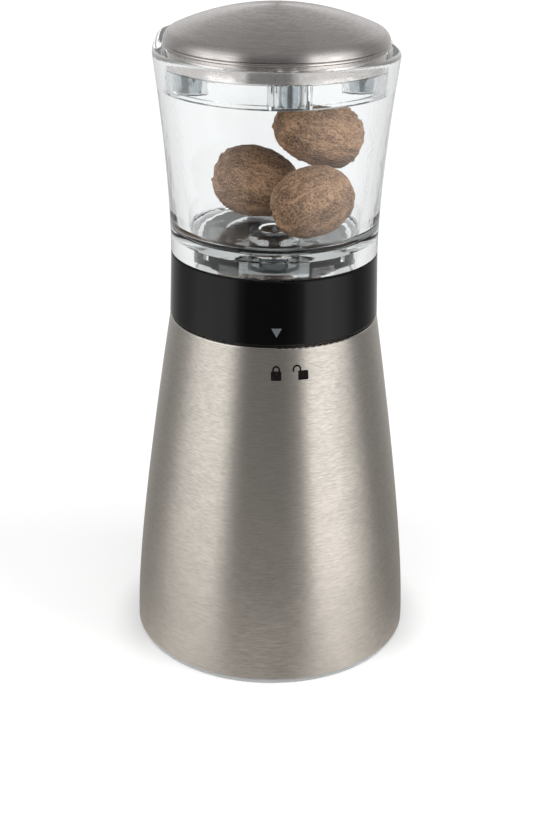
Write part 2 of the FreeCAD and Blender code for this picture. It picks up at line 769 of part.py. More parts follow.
def plunger_rod():
    rod_end = claw_plate_top - rod_socket
    body = hexagon(rod_flats, rod_end, flange_bottom)
    body = body.fuse(disc(rod_flange_radius, flange_bottom, flange_top))
    return body.cut(disc(claw_screw_radius + fit_gap, rod_end - over_cut,
                         rod_end + claw_screw_grip + fit_gap))


def claw_plate():
    body = disc(plate_radius, claw_root, claw_plate_top)
    body = body.cut(hexagon(rod_flats + 2 * fit_gap, claw_plate_top - rod_socket,
                            claw_plate_top + over_cut))
    body = body.cut(disc(claw_screw_radius + fit_gap, claw_root - over_cut, claw_plate_top))
    tab_middle = 0.5 * (claw_root_radius + claw_foot_radius)
    slot = block(claw_thickness + 2 * fit_gap, claw_tab + 2 * fit_gap, claw_root - over_cut,
                 claw_plate_top + over_cut, 0, -tab_middle)
    return body.cut(around(slot, claw_count))


def claws():
    tab_middle = 0.5 * (claw_root_radius + claw_foot_radius)
    tab_inner = tab_middle - 0.5 * claw_tab
    tab_outer = tab_middle + 0.5 * claw_tab
    tip_inner = claw_foot_radius - claw_tip_width
    outline = [(tab_inner, claw_root), (tab_inner, claw_plate_top), (tab_outer, claw_plate_top),
               (tab_outer, claw_root), (claw_foot_radius, claw_root), (claw_foot_radius, claw_tip)]
    for number in range(claw_teeth):
        share = number / claw_teeth
        radius = tip_inner + share * (claw_root_radius - tip_inner)
        level = claw_tip + claw_tooth_depth + share * (claw_length - claw_tooth_depth)
        outline += [(radius, level), (radius + claw_tooth_depth, level + claw_tooth_depth)]
    outline += [(claw_root_radius, claw_root)]
    corners = [Vector(0, -radius, z) for radius, z in outline]
    claw = Part.Face(Part.makePolygon(corners + corners[:1])).extrude(Vector(claw_thickness, 0, 0))
    claw.translate(Vector(-0.5 * claw_thickness, 0, 0))
    return around(claw, claw_count)


def claw_screw():
    length = plate_thickness - rod_socket + claw_screw_grip
    return screw(claw_screw_radius, claw_screw_head_radius, claw_screw_head_height, length,
                 0, claw_root, True)


def plunger_spring():
    radius = tube_bore - run_gap - 0.5 * spring_wire
    low = flange_top + 0.5 * spring_wire + fit_gap
    height = bore_top - 0.5 * spring_wire - fit_gap - low
    path = Part.makeHelix(height / spring_coils, height, radius)
    section = Part.Wire(Part.makeCircle(0.5 * spring_wire, Vector(radius, 0, 0), Vector(0, 1, 0)))
    spring = Part.Wire(path.Edges).makePipeShell([section], True, True)
    spring.translate(Vector(0, 0, low))
    return spring


def nutmeg(nut):
    """Egg-shaped nut on its side, turned and tilted, high above its place on the floor."""
    half = 0.5 * nut["length"]
    pull = nut["thickness"] / 1.5  # the curve bulges to three quarters of its poles' distance
    stem = pull * (1 + nut_taper)
    tip = pull * (1 - nut_taper)
    solid = lathe(bow((0, -half), (stem, -half), (tip, half), (0, half)), run((0, half), (0, -half)))
    solid.rotate(Vector(0, 0, 0), Vector(0, 1, 0), 90 - nut["tilt"])
    solid.rotate(Vector(0, 0, 0), Vector(0, 0, 1), nut["turn"])
    solid.translate(Vector(nut["x"], nut["y"], rim_low))
    return solid


def settle(nut, below):
    """Lower a nut until it rests on what lies below it."""
    for _ in range(settle_steps):
        gap = min(nut.distToShape(other)[0] for other in below) - seat_gap
        nut.translate(Vector(0, 0, -gap))
    return nut


def stored_nutmegs():
    below = [disc(cavity_base, recess_top, floor_top)]
    nuts = {}
    for name, nut in nutmegs.items():
        nuts[name] = settle(nutmeg(nut), below)
        below.append(nuts[name])
    return nuts


def subparts():
    return {
        "foot_ring": foot_ring(),
        "steel_sleeve": steel_sleeve(),
        "base_frame": base_frame(),
        "frame_screws": frame_screws(),
        "grater_disc": grater_disc(),
        "grater_blades": grater_blades(),
        "blade_rivets": blade_rivets(),
        "chamber_tube": chamber_tube(),
        "neck_ring": neck_ring(),
        "neck_screws": neck_screws(),
        "carrier": carrier(),
        "carrier_bush": carrier_bush(),
        "thrust_washer": thrust_washer(),
        "locking_collar": locking_collar(),
        "grip_ring": grip_ring(),
        "hopper": hopper(),
        "hub_screw": hub_screw(),
        "hub_washer": hub_washer(),
        "drive_adaptor": drive_adaptor(),
        "drive_tube": drive_tube(),
        "retaining_clip": retaining_clip(),
        "tube_end_cap": tube_end_cap(),
        "magnet_ring": magnet_ring(),
        "lid_magnets": lid_magnets(),
        "lid_dome": lid_dome(),
        "lid_plate": lid_plate(),
        "plunger_rod": plunger_rod(),
        "claw_plate": claw_plate(),
        "claws": claws(),
        "claw_screw": claw_screw(),
        "plunger_spring": plunger_spring(),
        **stored_nutmegs(),
    }


os.makedirs("parts", exist_ok=True)
for node, shape in subparts().items():
    if isinstance(shape, list):
        shape = Part.Compound([solid for piece in shape for solid in piece.Solids])
    shape.exportStep(f"parts/{node}.step")
    print(f"{node}: {len(shape.Solids)} solids, {shape.Volume:.1f} mm3, valid {shape.isValid()}")
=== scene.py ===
import math

import bmesh
import bpy
from bpy.props import FloatProperty, FloatVectorProperty, IntProperty, PointerProperty
from mathutils import Matrix, Vector, noise


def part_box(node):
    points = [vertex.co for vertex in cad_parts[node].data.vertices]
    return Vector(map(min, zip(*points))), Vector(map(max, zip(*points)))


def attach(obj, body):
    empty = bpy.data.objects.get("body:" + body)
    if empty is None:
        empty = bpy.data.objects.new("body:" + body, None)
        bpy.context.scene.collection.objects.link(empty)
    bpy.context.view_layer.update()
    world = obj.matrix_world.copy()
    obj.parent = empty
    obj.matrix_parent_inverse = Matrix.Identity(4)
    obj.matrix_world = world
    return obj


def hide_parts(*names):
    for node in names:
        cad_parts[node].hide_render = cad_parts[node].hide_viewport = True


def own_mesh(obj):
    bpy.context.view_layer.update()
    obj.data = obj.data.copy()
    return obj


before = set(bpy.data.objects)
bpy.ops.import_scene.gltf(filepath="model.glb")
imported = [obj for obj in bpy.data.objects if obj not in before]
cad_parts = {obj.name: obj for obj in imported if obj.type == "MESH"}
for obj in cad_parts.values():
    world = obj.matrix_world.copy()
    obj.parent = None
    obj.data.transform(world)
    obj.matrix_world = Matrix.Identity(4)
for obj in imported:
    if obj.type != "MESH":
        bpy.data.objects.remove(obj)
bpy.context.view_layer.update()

bl_info = {
    "name": "Nutmeg grater",
    "version": (1, 0, 0),
    "blender": (4, 5, 0),
    "location": "3D View > Sidebar > Grater",
    "description": "Finishes, markings, stored nutmegs and studio for a twist-head nutmeg grater",
    "category": "Object",
}

MM = 0.001


# ---------------------------------------------------------------------------------------
# Sizes and colours that a user would change


def colour(name, description, default):
    return FloatVectorProperty(name=name, description=description, default=default, size=3,
                               min=0.0, max=1.0, subtype="COLOR")


def length(name, description, default):
    return FloatProperty(name=name, description=description, default=default * MM, unit="LENGTH")


def share(name, description, default, most=1.0):
    return FloatProperty(name=name, description=description, default=default, min=0.0, max=most)


def degrees(name, description, default):
    return FloatProperty(name=name, description=description, default=math.radians(default),
                         subtype="ANGLE")


class GRATER_PG_finishes(bpy.types.PropertyGroup):
    """Colours and surface values of the grater's materials."""

    steel: colour("Steel", "Colour of the brushed sleeve", (0.74, 0.695, 0.635))
    lid_steel: colour("Lid steel", "Colour of the brushed lid", (0.73, 0.69, 0.67))
    steel_roughness: share("Steel roughness", "Roughness of the brushed steel", 0.38)
    lid_roughness: share("Lid roughness", "Roughness of the brushed lid", 0.27)
    steel_grain: share("Steel grain", "How strongly the brushing lightens and darkens", 0.10)
    cut_steel: colour("Cutting steel", "Colour of the blades, claws and tube", (0.52, 0.52, 0.52))
    bright: colour("Bright metal", "Colour of the screws, washers and clip", (0.74, 0.74, 0.75))
    nickel: colour("Nickel", "Colour of the magnets' plating", (0.58, 0.62, 0.65))
    brass: colour("Brass", "Colour of the carrier's bush", (0.72, 0.50, 0.22))
    gloss_black: colour("Gloss black", "Colour of the locking collar", (0.0015, 0.0015, 0.002))
    moulded_black: colour("Moulded black", "Colour of the matte black parts", (0.02, 0.02, 0.022))
    adaptor_grey: colour("Adaptor grey", "Colour of the plate under the hopper's floor",
                         (0.60, 0.61, 0.61))
    moulded_grey: colour("Moulded grey", "Colour of the grating chamber", (0.27, 0.27, 0.28))
    foot: colour("Foot", "Colour of the milky foot ring", (0.555, 0.57, 0.575))
    clear: colour("Acrylic", "Tint of the clear hopper", (0.930, 0.940, 0.942))
    clear_ior: FloatProperty(name="Acrylic IOR", description="Index of refraction of the hopper",
                             default=1.49, min=1.0, max=2.5)
    # The light colour also gives the painted highlight on a nut's raised ridges, and the furrow
    # colour the painted shade in its sunk furrows
    nut_light: colour("Nut, light", "Lighter patches of a nutmeg", (0.67, 0.405, 0.238))
    nut_dark: colour("Nut, dark", "Darker patches of a nutmeg", (0.15, 0.082, 0.045))
    nut_furrow: colour("Nut, furrows", "Bottom of a nutmeg's furrows", (0.085, 0.048, 0.03))
    pointer: colour("Pointer", "Colour of the collar's printed pointer", (0.105, 0.116, 0.126))
    padlock: colour("Padlocks", "Colour of the etched padlocks", (0.004, 0.0035, 0.003))


class GRATER_PG_sizes(bpy.types.PropertyGroup):
    """Sizes of the pieces that are added to the frame."""

    closed_azimuth: degrees("Closed mark", "Place of the closed padlock and pointer", 1.7)
    open_azimuth: degrees("Open mark", "Place of the open padlock", 15.7)
    mark_level: length("Mark level", "Lower edge of the padlocks", 78.15)
    lock_width: length("Padlock width", "Width of a padlock's body", 2.45)
    lock_height: length("Padlock height", "Height of a padlock's body", 2.2)
    shackle_radius: length("Shackle radius", "Outer radius of a closed shackle", 0.92)
    open_radius: length("Open shackle radius", "Outer radius of the open shackle", 1.05)
    shackle_width: length("Shackle width", "Width of a shackle's bar", 0.4)
    shackle_leg: length("Shackle leg", "Straight part of a shackle", 0.4)
    open_shift: length("Open shift", "How far the open shackle stands aside", -1.5)
    pointer_level: length("Pointer level", "Tip of the pointer", 88.4)
    pointer_width: length("Pointer width", "Width of the pointer's upper edge", 2.45)
    pointer_height: length("Pointer height", "Height of the pointer", 2.2)
    plate_radius: length("Adaptor plate", "Radius of the grey face inside the lugs", 13.4)
    print_depth: length("Print depth", "Thickness of a printed or etched mark", 0.05)
    sleeve_edge: length("Sleeve edge", "Height of the polished edge at the sleeve's top", 0.42)
    bead_level: length("Bead level", "Lower side of the lid's bead over its lower edge", 3.48)
    bead_height: length("Bead height", "Height of the lid's polished bead", 0.9)
    spring_wire: length("Spring wire", "Thickness of the plunger spring's wire", 0.9)
    nut_lumps: length("Nut lumps", "Depth of the broad hollows of a nutmeg", 0.55)
    nut_furrows: length("Nut furrows", "Depth of the long furrows of a nutmeg", 0.22)
    nut_detail: IntProperty(name="Nut detail", description="Subdivisions of a nutmeg's skin",
                            default=6, min=2, max=6)


class GRATER_PG_studio(bpy.types.PropertyGroup):
    """Camera and light."""

    distance: length("Camera distance", "Horizontal distance from the axis to the camera", 363.05)
    height: length("Camera height", "Height of the camera over the floor", 220.02)
    pitch: degrees("Camera pitch", "How far the camera looks down", 24.28)
    turn: degrees("Camera turn", "How far the camera looks to the left", 0.228)
    roll: degrees("Camera roll", "How far the camera leans", 0.602)
    lens: FloatProperty(name="Lens", description="Focal length in millimetres", default=67.45)
    ambient: share("Ambient", "Plain light that comes from everywhere", 0.50, 2.0)
    floor_size: length("Floor size", "Width of the paper sweep", 3000.0)


# ---------------------------------------------------------------------------------------
# Node trees

# Places of the colour sockets on a Mix node, whose names its other sockets share
MIX_A, MIX_B, MIX_RESULT = 6, 7, 2


class Wires:
    """Adds nodes to one node tree and links them."""

    def __init__(self, tree):
        self.tree = tree

    def node(self, kind, inputs=None, **settings):
        made = self.tree.nodes.new("ShaderNode" + kind)
        for name, value in settings.items():
            setattr(made, name, value)
        self.fill(made, inputs or {})
        return made

    def fill(self, node, inputs):
        """Links each input to a socket, or sets it to a plain value."""
        for name, value in inputs.items():
            if isinstance(value, bpy.types.NodeSocket):
                self.tree.links.new(value, node.inputs[name])
            else:
                node.inputs[name].default_value = value

    def math(self, operation, a, b=0.0, clamp=False):
        made = self.node("Math", {0: a, 1: b}, operation=operation, use_clamp=clamp)
        return made.outputs[0]

    def plus(self, a, b):
        return self.math("ADD", a, b)

    def times(self, a, b):
        return self.math("MULTIPLY", a, b)

    def vector(self, operation, a, b=(0.0, 0.0, 0.0)):
        """What a vector operation gives, which is a number for a length or a dot product."""
        made = self.node("VectorMath", {0: a, 1: b}, operation=operation)
        return made.outputs["Value" if operation in ("LENGTH", "DOT_PRODUCT") else "Vector"]

    def scaled(self, vector, factor):
        made = self.node("VectorMath", {0: vector, "Scale": factor}, operation="SCALE")
        return made.outputs["Vector"]

    def parts(self, vector):
        """X, Y and Z of a vector."""
        return self.node("SeparateXYZ", {"Vector": vector}).outputs

    def noise(self, vector, scale, detail=2.0, roughness=0.5, output="Fac"):
        made = self.node("TexNoise", {"Vector": vector, "Scale": scale, "Detail": detail,
                                      "Roughness": roughness})
        return made.outputs[output]

    def between(self, value, low, high, to_low=0.0, to_high=1.0):
        """Turns a value's range from low to high into another, with soft ends."""
        made = self.node("MapRange", {"Value": value, "From Min": low, "From Max": high,
                                      "To Min": to_low, "To Max": to_high},
                         interpolation_type="SMOOTHSTEP")
        return made.outputs["Result"]

    def mix(self, factor, a, b):
        """Colour a where the factor is 0, b where it is 1."""
        made = self.node("Mix", {"Factor": factor, MIX_A: a, MIX_B: b}, data_type="RGBA")
        return made.outputs[MIX_RESULT]

    def blend(self, factor, a, b):
        """Value a where the factor is 0, b where it is 1."""
        made = self.node("Mix", {"Factor": factor, "A": a, "B": b}, data_type="FLOAT")
        return made.outputs["Result"]

    def bump(self, height, strength, distance):
        made = self.node("Bump", {"Height": height, "Strength": strength, "Distance": distance})
        return made.outputs["Normal"]

    def object_coordinates(self):
        return self.node("TexCoord").outputs["Object"]

    def group(self, tree, inputs):
        """The outputs of a shared group with its own inputs."""
        made = self.node("Group", node_tree=tree)
        self.fill(made, inputs)
        return made.outputs


SOCKETS = {"value": "NodeSocketFloat", "vector": "NodeSocketVector", "colour": "NodeSocketColor"}
PLACE = ("vector", (0, 0, 0))


def shared_group(name, inputs, outputs):
    """Makes a shader node group, the first time it is asked for, with a function's wiring."""
    def with_wiring(wiring):
        def give():
            tree = bpy.data.node_groups.get(name)
            if tree:
                return tree
            tree = bpy.data.node_groups.new(name, "ShaderNodeTree")
            for socket, (kind, default) in inputs.items():
                made = tree.interface.new_socket(socket, in_out="INPUT",
                                                 socket_type=SOCKETS[kind])
                made.default_value = default
            for socket, kind in outputs.items():
                tree.interface.new_socket(socket, in_out="OUTPUT", socket_type=SOCKETS[kind])
            start = tree.nodes.new("NodeGroupInput")
            end = tree.nodes.new("NodeGroupOutput")
            w = Wires(tree)
            w.fill(end, wiring(w, start.outputs))
            return tree
        return give
    return with_wiring


@shared_group("Ring brushing",
              {"Vector": PLACE, "Around": ("value", 18.0), "Across": ("value", 4500.0)},
              {"Streak": "value", "Height": "value"})
def ring_brushing(w, given):
    """Short scratches round the Z axis, at a pitch that follows height and radius."""
    xyz = w.parts(given["Vector"])
    flat = w.node("CombineXYZ", {"X": xyz["X"], "Y": xyz["Y"]}).outputs["Vector"]
    outward = w.parts(w.vector("NORMALIZE", flat))
    climb = w.math("SUBTRACT", xyz["Z"], w.vector("LENGTH", flat))

    def scratches(around, across, detail):
        turn = w.times(given["Around"], around)
        place = w.node("CombineXYZ", {
            "X": w.times(outward["X"], turn),
            "Y": w.times(outward["Y"], turn),
            "Z": w.times(climb, w.times(given["Across"], across))})
        return w.noise(place.outputs["Vector"], scale=1.0, detail=detail, roughness=0.6)

    fine = scratches(around=2.2, across=1.0, detail=2.0)
    coarse = scratches(around=0.9, across=0.5, detail=3.0)
    both = w.plus(w.times(fine, 0.65), w.times(coarse, 0.35))
    return {"Streak": w.between(both, 0.3, 0.7), "Height": both}


@shared_group("Handling",
              {"Vector": PLACE, "Smudge": ("value", 0.05), "Base": ("value", 0.3)},
              {"Roughness": "value", "Dust": "value"})
def handling(w, given):
    """Faint smudges and dust that change the roughness and dull the colour."""
    broad = w.noise(given["Vector"], scale=55.0, detail=3.0, roughness=0.55)
    specks = w.noise(given["Vector"], scale=2600.0, detail=1.0)
    spread = w.times(w.between(broad, 0.35, 0.7, -1.0, 1.0), given["Smudge"])
    return {"Roughness": w.math("ADD", given["Base"], spread, clamp=True),
            "Dust": w.between(w.times(specks, broad), 0.42, 0.52)}


@shared_group("Moulded grain", {"Vector": PLACE, "Size": ("value", 2800.0)},
              {"Grain": "value", "Cloud": "value"})
def moulded_grain(w, given):
    """Fine spark-eroded texture of moulded plastic."""
    return {"Grain": w.noise(given["Vector"], scale=given["Size"], roughness=0.6),
            "Cloud": w.noise(given["Vector"], scale=90.0)}


@shared_group("Edge wear", {"Vector": PLACE, "Width": ("value", 0.3 * MM)}, {"Wear": "value"})
def edge_wear(w, given):
    """Where an edge has lost its finish: 1 on a worn edge."""
    rounded = w.node("Bevel", {"Radius": given["Width"]}, samples=4).outputs["Normal"]
    plain = w.node("NewGeometry").outputs["Normal"]
    turned = w.math("SUBTRACT", 1.0, w.vector("DOT_PRODUCT", rounded, plain))
    patches = w.noise(given["Vector"], scale=700.0, detail=3.0, roughness=0.6)
    return {"Wear": w.between(w.times(turned, patches), 0.01, 0.09)}


@shared_group("Nut skin",
              {"Vector": PLACE, "Light": ("colour", (0.4, 0.27, 0.18, 1)),
               "Dark": ("colour", (0.13, 0.08, 0.05, 1)),
               "Furrow": ("colour", (0.04, 0.03, 0.02, 1))},
              {"Colour": "colour", "Height": "value"})
def nut_skin(w, given):
    """Dry, furrowed skin of a nutmeg whose long axis is X: its own mottled colour, with painted
    shade in its sunk furrows and hollows and a painted highlight on its raised ridges.
    """
    drift = w.vector("SUBTRACT", w.noise(given["Vector"], scale=160.0, output="Color"),
                     (0.5, 0.5, 0.5))
    bent = w.vector("ADD", given["Vector"], w.scaled(drift, 4.5 * MM))
    along = w.vector("MULTIPLY", bent, (0.3, 1.1, 1.1))
    bands = w.between(w.noise(along, scale=190.0, detail=3.0, roughness=0.55), 0.40, 0.60)
    mottle = w.between(w.noise(along, scale=420.0, detail=4.0, roughness=0.65), 0.36, 0.66)
    veins = w.noise(along, scale=620.0, detail=4.0, roughness=0.62)
    furrow = w.between(w.math("ABSOLUTE", w.math("SUBTRACT", veins, 0.5)), 0.0, 0.05)
    cells = w.node("TexVoronoi",
                   {"Vector": w.vector("MULTIPLY", bent, (0.7, 1.0, 1.0)), "Scale": 1700.0},
                   feature="DISTANCE_TO_EDGE").outputs["Distance"]
    ridge = w.between(cells, 0.0, 0.17, 1.0, 0.0)
    grain = w.noise(given["Vector"], scale=5200.0, roughness=0.7)
    tone = w.plus(w.times(bands, 0.45), w.times(mottle, 0.55))
    skin = w.mix(w.times(tone, 0.9), given["Dark"], given["Light"])
    # Painted shade: the sunk middles of the cells are darkened
    skin = w.mix(w.between(cells, 0.06, 0.32, 0.0, 0.5), skin, given["Dark"])
    # Painted highlight: the raised ridges between the cells are lightened
    skin = w.mix(w.times(ridge, 0.6), skin, given["Light"])
    skin = w.mix(w.between(grain, 0.4, 0.7, 0.0, 0.4), skin, given["Furrow"])
    # Painted shade: the sunk furrow lines are darkened
    skin = w.mix(w.between(furrow, 0.0, 1.0, 0.5, 0.0), skin, given["Furrow"])
    relief = w.plus(w.times(furrow, 0.5), w.times(ridge, 0.35))
    return {"Colour": skin, "Height": w.plus(relief, w.times(grain, 0.2))}


# Brightness of the studio's walls, from the front, round by the right, in degrees
WALLS = ((-180, 0.72), (-160, 0.53), (-140, 0.40), (-120, 0.31), (-105, 0.41), (-96, 0.62),
         (-87, 0.94), (-72, 1.20), (-56, 1.24), (-49, 1.26), (-43, 1.04), (-36, 0.39),
         (-27, 0.13), (12, 0.11), (24, 0.26), (31, 0.55), (34, 1.14), (38, 1.50), (60, 1.66),
         (70, 1.31), (80, 0.98), (88, 0.60), (97, 0.31), (110, 0.26), (125, 0.30), (140, 0.42),
         (160, 0.56), (180, 0.72))
CEILING = 0.265
CEILING_EDGE = (0.2, 0.85)  # Z of the directions between which walls turn into ceiling


@shared_group("Studio walls", {"Vector": PLACE}, {"Brightness": "value"})
def studio_walls(w, given):
    """What metal and gloss see round the object: two soft boxes, a dark front, a grey ceiling."""
    way = w.parts(w.vector("NORMALIZE", given["Vector"]))
    azimuth = w.math("ARCTAN2", way["X"], w.times(way["Y"], -1.0))
    turn = w.node("MapRange", {"Value": azimuth, "From Min": -math.pi, "From Max": math.pi})
    ramp = w.node("ValToRGB", {"Fac": turn.outputs["Result"]})
    stops = ramp.color_ramp.elements
    for angle, _ in WALLS[1:-1]:
        stops.new((angle + 180) / 360)
    for stop, (_, level) in zip(stops, WALLS):
        stop.color = (level, level, level, 1)
    up = w.between(way["Z"], *CEILING_EDGE)
    return {"Brightness": w.blend(up, ramp.outputs["Color"], CEILING)}


# ---------------------------------------------------------------------------------------
# Materials

BEAD_ROUGHNESS = 0.15

# Lighter and darker tones of a finish, in shares of its colour
DULL_METAL = 0.78
POLISHED_METAL = 1.25
DEEP_PLASTIC = 0.8
RUBBED_PLASTIC = 1.5
DUSTY_ACRYLIC = 0.9
MILKY_CLOUD = 1.12
THIN_INK = 1.3

FACE_EDGE = 0.2 * MM  # softness of the edge of a face's second colour
DUST = (0.4, 0.39, 0.37, 1.0)
ACRYLIC_SHADOW = (0.93, 0.94, 0.94, 1.0)  # what acrylic lets through of a lamp
ACRYLIC_GLOSS_DEPTH = 2.5  # reflections after which acrylic only lets light through


def shade(base, factor=1.0, lift=0.0):
    """An opaque colour, made lighter or darker."""
    return (*(min(1.0, factor * channel + lift) for channel in base), 1.0)


def new_material(name):
    """A material, its wires, its Principled shader and its object coordinates."""
    material = bpy.data.materials.new(name)
    material.use_nodes = True
    w = Wires(material.node_tree)
    return material, w, material.node_tree.nodes["Principled BSDF"], w.object_coordinates()


def made_once(build):
    """Keeps each material that build makes, by its name."""
    def give(name, *values, **settings):
        return bpy.data.materials.get(name) or build(name, *values, **settings)
    return give


@made_once
def ring_brushed_steel(name, base, roughness, grain, around, across, bead):
    """Steel brushed round the axis, polished between the two heights of a bead or edge."""
    material, w, shader, place = new_material(name)
    brushing = w.group(ring_brushing(), {"Vector": place, "Around": around, "Across": across})
    touch = w.group(handling(), {"Vector": place, "Smudge": 0.03, "Base": roughness})
    streak = brushing["Streak"]
    rough = w.plus(touch["Roughness"], w.between(streak, 0.0, 1.0, 0.05, -0.03))
    level = w.parts(place)["Z"]
    band = w.times(w.math("GREATER_THAN", level, bead[0]), w.math("LESS_THAN", level, bead[1]))
    w.fill(shader, {
        "Base Color": w.mix(streak, shade(base, 1 - grain), shade(base, 1 + 0.6 * grain)),
        "Roughness": w.blend(band, rough, BEAD_ROUGHNESS),
        "Metallic": 1.0,
        "Anisotropic": 0.98,
        "Anisotropic Rotation": 0.25,
        "Tangent": w.node("Tangent", direction_type="RADIAL", axis="Z").outputs["Tangent"],
        "Normal": w.bump(brushing["Height"], 0.3, 0.12 * MM)})
    return material


@made_once
def worked_metal(name, base, roughness, wear_width=0.3 * MM, scratch=900.0):
    """Plain metal with fine crossing scratches and brighter edges."""
    material, w, shader, place = new_material(name)
    touch = w.group(handling(), {"Vector": place, "Smudge": 0.06, "Base": roughness})
    wear = w.group(edge_wear(), {"Vector": place, "Width": wear_width})["Wear"]
    fine = w.noise(w.vector("MULTIPLY", place, (1.0, 0.15, 1.0)), scratch, detail=3.0,
                   roughness=0.65)
    body = w.mix(w.between(fine, 0.3, 0.7), shade(base, DULL_METAL), shade(base))
    w.fill(shader, {
        "Base Color": w.mix(wear, body, shade(base, POLISHED_METAL)),
        "Roughness": touch["Roughness"],
        "Metallic": 1.0,
        "Normal": w.bump(fine, 0.15, 0.1 * MM)})
    return material


@made_once
def moulded_plastic(name, base, roughness, specular=0.5, grain=0.3, size=2800.0, face=None):
    """Plastic with a moulded grain, cloudy colour, dust and paler rubbed edges.

    A face is a second colour and the radius round the Z axis that it fills."""
    material, w, shader, place = new_material(name)
    texture = w.group(moulded_grain(), {"Vector": place, "Size": size})
    touch = w.group(handling(), {"Vector": place, "Smudge": 0.05, "Base": roughness})
    wear = w.group(edge_wear(), {"Vector": place, "Width": 0.25 * MM})["Wear"]
    body = w.mix(w.between(texture["Cloud"], 0.3, 0.7), shade(base, DEEP_PLASTIC), shade(base))
    body = w.mix(w.times(wear, 0.6), body, shade(base, RUBBED_PLASTIC, lift=0.015))
    if face:
        second, radius = face
        reach = w.vector("LENGTH", w.vector("MULTIPLY", place, (1.0, 1.0, 0.0)))
        inside = w.between(reach, radius - FACE_EDGE, radius + FACE_EDGE, 1.0, 0.0)
        body = w.mix(inside, body, shade(second))
    w.fill(shader, {
        "Base Color": w.mix(w.times(touch["Dust"], 0.03), body, DUST),
        "Roughness": touch["Roughness"],
        "Specular IOR Level": specular,
        "Normal": w.bump(texture["Grain"], grain, 0.05 * MM)})
    return material


@made_once
def clear_acrylic(name, base, ior):
    """Polished acrylic with the faint waves of moulding, which lets the lamps through."""
    material, w, shader, place = new_material(name)
    touch = w.group(handling(), {"Vector": place, "Smudge": 0.012, "Base": 0.012})
    waves = w.noise(w.vector("MULTIPLY", place, (1.0, 1.0, 0.55)), scale=420.0)
    w.fill(shader, {
        "Base Color": w.mix(w.times(touch["Dust"], 0.25), shade(base),
                            shade(base, DUSTY_ACRYLIC)),
        "Roughness": touch["Roughness"],
        "IOR": ior,
        "Transmission Weight": 1.0,
        "Specular Tint": (0.5, 0.5, 0.5, 1.0),
        "Normal": w.bump(waves, 0.14, 0.25 * MM)})
    clear = w.node("BsdfTransparent", {"Color": ACRYLIC_SHADOW})
    path = w.node("LightPath").outputs
    spent = w.math("GREATER_THAN", path["Glossy Depth"], ACRYLIC_GLOSS_DEPTH)
    past = w.math("MAXIMUM", path["Is Shadow Ray"], spent)
    both = w.node("MixShader", {0: past, 1: shader.outputs["BSDF"], 2: clear.outputs["BSDF"]})
    w.fill(material.node_tree.nodes["Material Output"], {"Surface": both.outputs["Shader"]})
    return material


@made_once
def milky_plastic(name, base):
    """Pale plastic that light sinks into."""
    material, w, shader, place = new_material(name)
    touch = w.group(handling(), {"Vector": place, "Smudge": 0.06, "Base": 0.24})
    texture = w.group(moulded_grain(), {"Vector": place, "Size": 1800.0})
    w.fill(shader, {
        "Base Color": w.mix(texture["Cloud"], shade(base), shade(base, MILKY_CLOUD)),
        "Roughness": touch["Roughness"],
        "Subsurface Weight": 0.3,
        "Subsurface Scale": 1.5 * MM,
        "Normal": w.bump(texture["Grain"], 0.1, 0.04 * MM)})
    return material


@made_once
def nutmeg_skin(name, light, dark, furrow, centre, long_axis):
    """Skin of one nut, its furrows running along its own axis."""
    material, w, shader, place = new_material(name)
    turn = long_axis.to_track_quat("X", "Z").to_euler()
    own = w.node("Mapping", {"Vector": place, "Location": tuple(centre),
                             "Rotation": tuple(turn)}, vector_type="TEXTURE")
    skin = w.group(nut_skin(), {"Vector": own.outputs["Vector"], "Light": light, "Dark": dark,
                                "Furrow": furrow})
    w.fill(shader, {
        "Base Color": skin["Colour"],
        "Roughness": w.between(skin["Height"], 0.2, 1.0, 0.78, 0.52),
        "Specular IOR Level": 0.4,
        "Normal": w.bump(skin["Height"], 0.75, 0.22 * MM)})
    return material


@made_once
def printed_ink(name, base, roughness, specular):
    """Ink or etching with a slightly broken tone."""
    material, w, shader, place = new_material(name)
    tone = w.noise(place, scale=3000.0, detail=3.0, roughness=0.6)
    w.fill(shader, {
        "Base Color": w.mix(w.between(tone, 0.45, 0.75), shade(base),
                            shade(base, THIN_INK, lift=0.01)),
        "Roughness": w.between(tone, 0.3, 0.7, roughness, roughness + 0.15),
        "Specular IOR Level": specular})
    return material


def cutting_steel(look):
    return worked_metal("Cutting steel", look.cut_steel, roughness=0.30)


def bright_screws(look):
    return worked_metal("Bright screws", look.bright, roughness=0.18, wear_width=0.2 * MM)


def black_mouldings(look):
    return moulded_plastic("Black mouldings", look.moulded_black, roughness=0.48)


def gloss_black(name, look, face=None):
    return moulded_plastic(name, look.gloss_black, roughness=0.07, specular=0.24, grain=0.02,
                           size=900.0, face=face)


def dress(material, *nodes):
    """Gives CAD nodes a material."""
    for node in nodes:
        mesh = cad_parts[node].data
        mesh.materials.clear()
        mesh.materials.append(material)


# ---------------------------------------------------------------------------------------
# Mesh helpers

BOW_STEPS = 18
LEG_STEPS = 3


def placed(name, data):
    """A new object in the scene."""
    made = bpy.data.objects.new(name, data)
    bpy.context.scene.collection.objects.link(made)
    return made


def mesh_of(name, bm):
    """Turns a bmesh into a mesh and frees it."""
    mesh = bpy.data.meshes.new(name)
    bm.to_mesh(mesh)
    bm.free()
    return mesh


def finished_piece(name, bm, material, body, smooth=False):
    """Makes an object of a bmesh, on a body, with a material."""
    for face in bm.faces:
        face.smooth = smooth
    piece = placed(name, mesh_of(name, bm))
    piece.data.materials.append(material)
    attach(piece, body)
    return piece


def surface_radius(node, azimuth, level):
    """Outer radius of a CAD node at a height, on the azimuth counted from the front."""
    outward = Vector((math.sin(azimuth), -math.cos(azimuth), 0.0))
    start = outward + Vector((0.0, 0.0, level))
    hit, place, _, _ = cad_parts[node].ray_cast(start, -outward)
    if not hit:
        raise RuntimeError(f"{node} has no surface at height {level}")
    return Vector((place.x, place.y)).length


